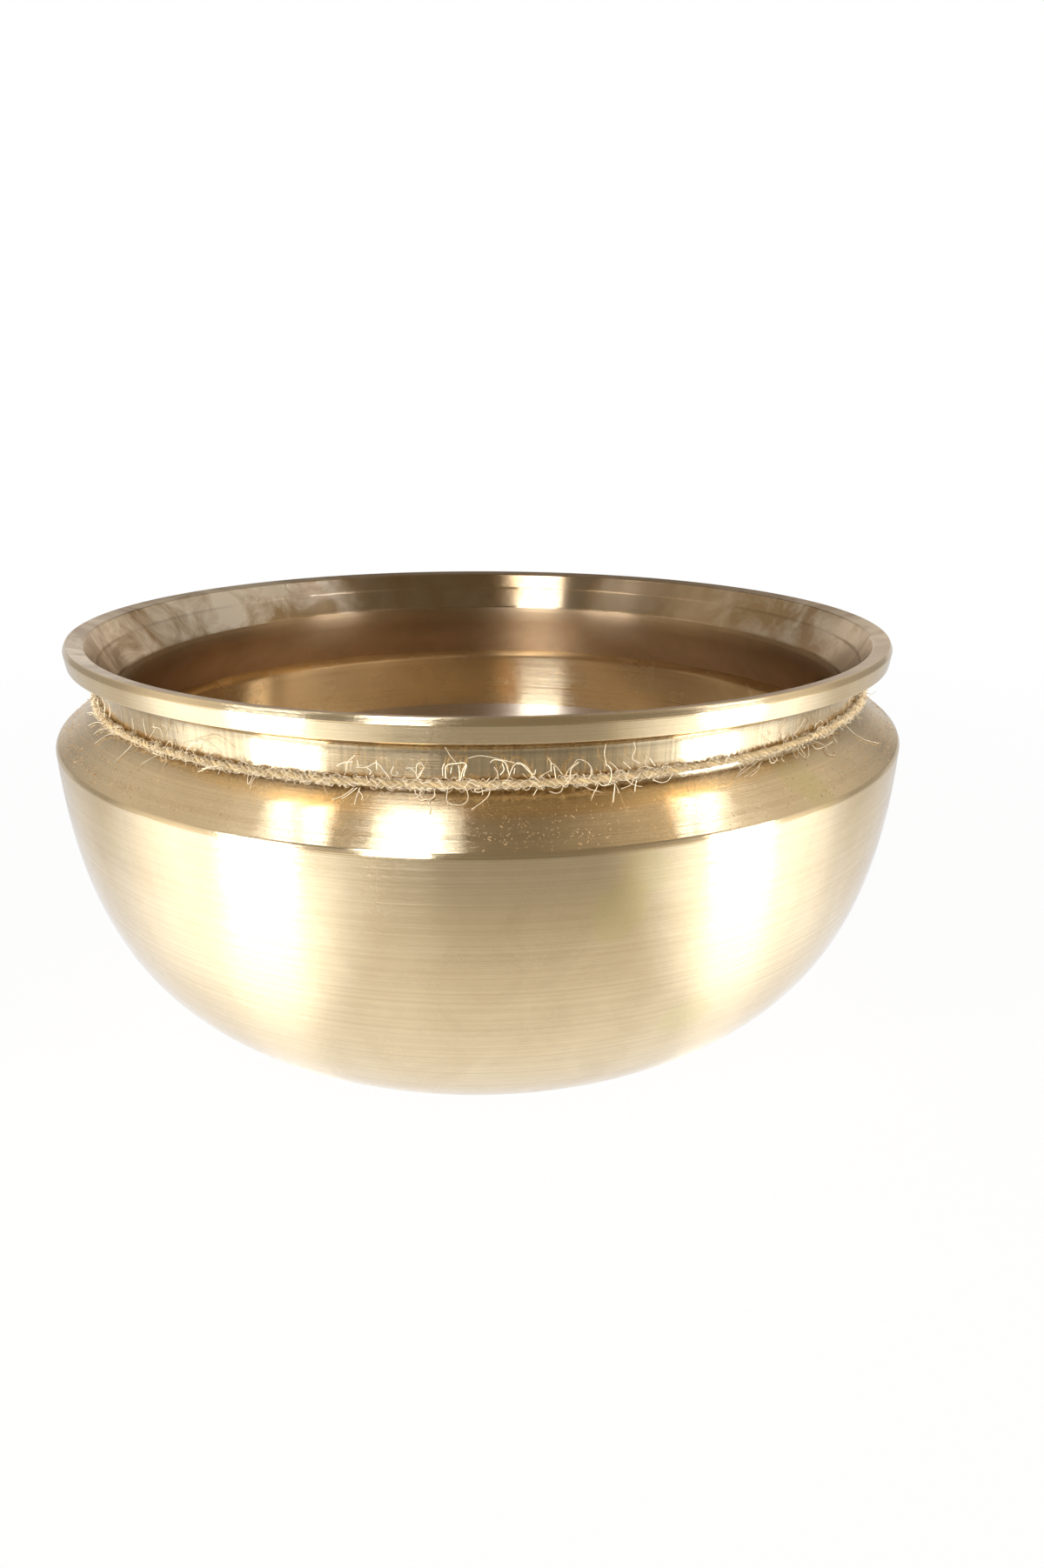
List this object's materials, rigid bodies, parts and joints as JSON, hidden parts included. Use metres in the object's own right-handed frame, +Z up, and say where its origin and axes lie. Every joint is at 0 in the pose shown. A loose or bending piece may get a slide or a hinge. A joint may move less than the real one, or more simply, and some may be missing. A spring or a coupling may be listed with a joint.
{
  "type": "bowl",
  "caption": "Round-bellied turned bronze bowl with a flared upright rim, a drawn-in neck and a sloping shoulder, tied round the neck with jute twine.",
  "frame": {"origin": "centre of the flat base that the bowl stands on", "axes": "+Z up along the axis that the bowl was turned on; the picture looks along +Y, and the twine's knot is at the back, on +Y"},
  "size_m": [0.2648, 0.2648, 0.124],
  "materials": {
    "bronze": "lathe-turned bell-metal bronze, satin, with fine circular tool lines",
    "jute_twine": "undyed plied jute with loose fibres"
  },
  "bodies": {
    "root": {"bowl": "bronze", "neck_twine": "jute_twine"}
  },
  "joints": []
}
